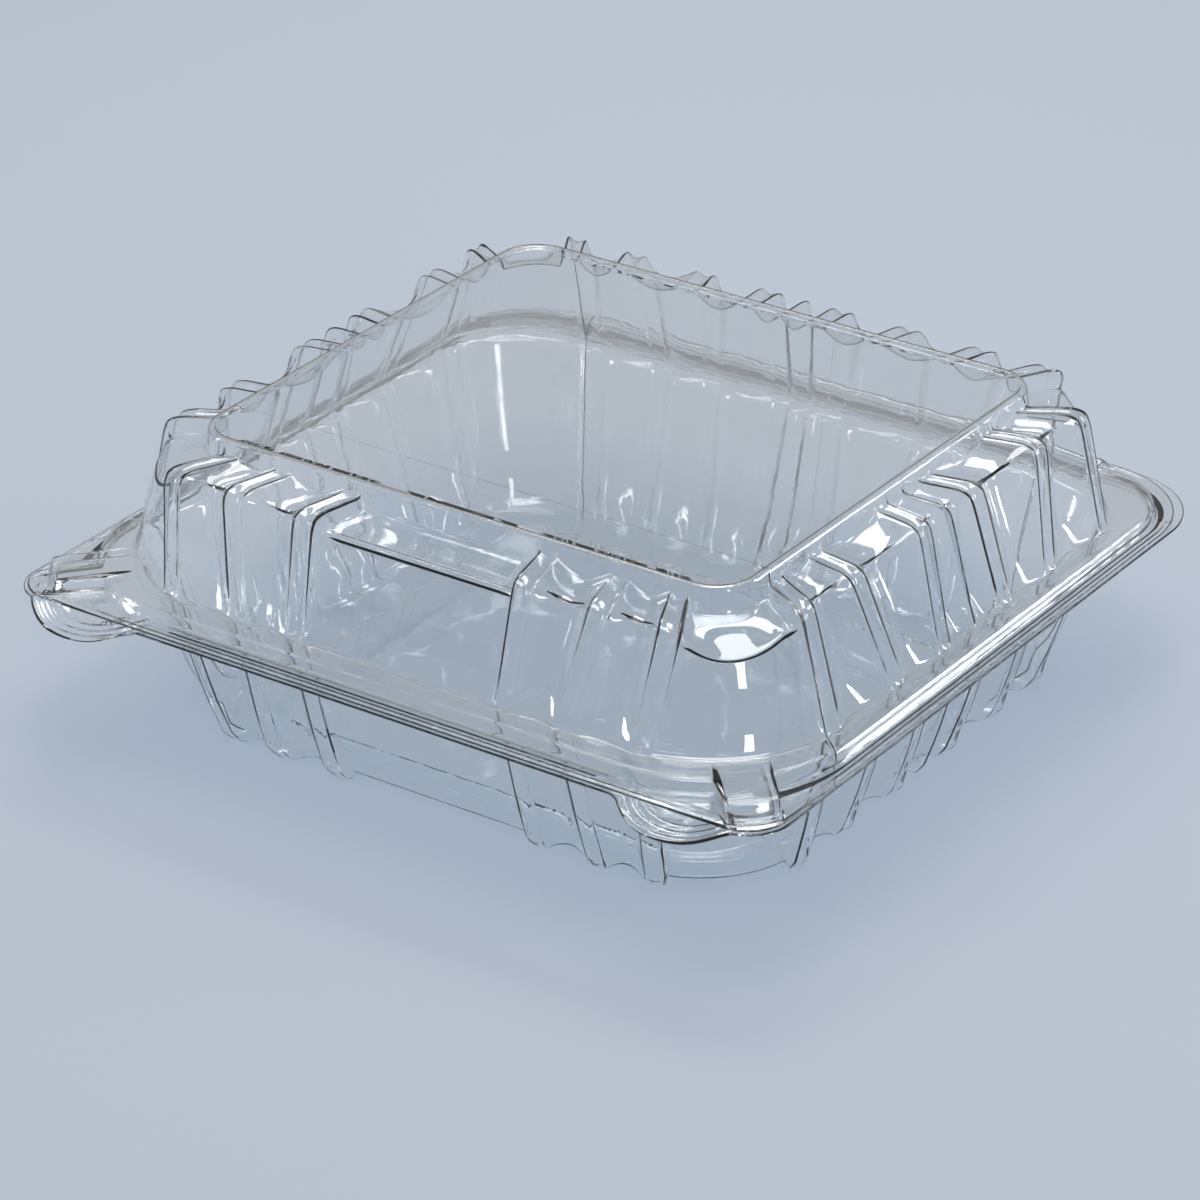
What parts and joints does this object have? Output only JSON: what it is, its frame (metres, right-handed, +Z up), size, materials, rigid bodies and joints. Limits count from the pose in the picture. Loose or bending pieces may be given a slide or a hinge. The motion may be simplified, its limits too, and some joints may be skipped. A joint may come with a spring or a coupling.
{
  "type": "hinged food clamshell",
  "caption": "Clear thermoformed clamshell pack with a ribbed lid, a tapered tray, snap corners with finger tabs and a fold hinge along the back.",
  "frame": {"origin": "middle of the bounding box, on the table under the tray", "axes": "+Z up, +X to the right, the snap corners with the finger tabs face -Y and the fold hinge runs along +Y"},
  "size_m": [0.231, 0.2306, 0.082],
  "materials": {
    "clear_plastic": "clear, glossy"
  },
  "bodies": {
    "base": {"base_tray": "clear_plastic"},
    "lid": {"lid": "clear_plastic"}
  },
  "joints": [
    {"name": "lid_hinge", "type": "hinge", "parent": "base", "child": "lid", "pos_m": [0, 0.1154, 0.042], "axis": [-1, 0, 0], "range_deg": [0, 180]}
  ]
}
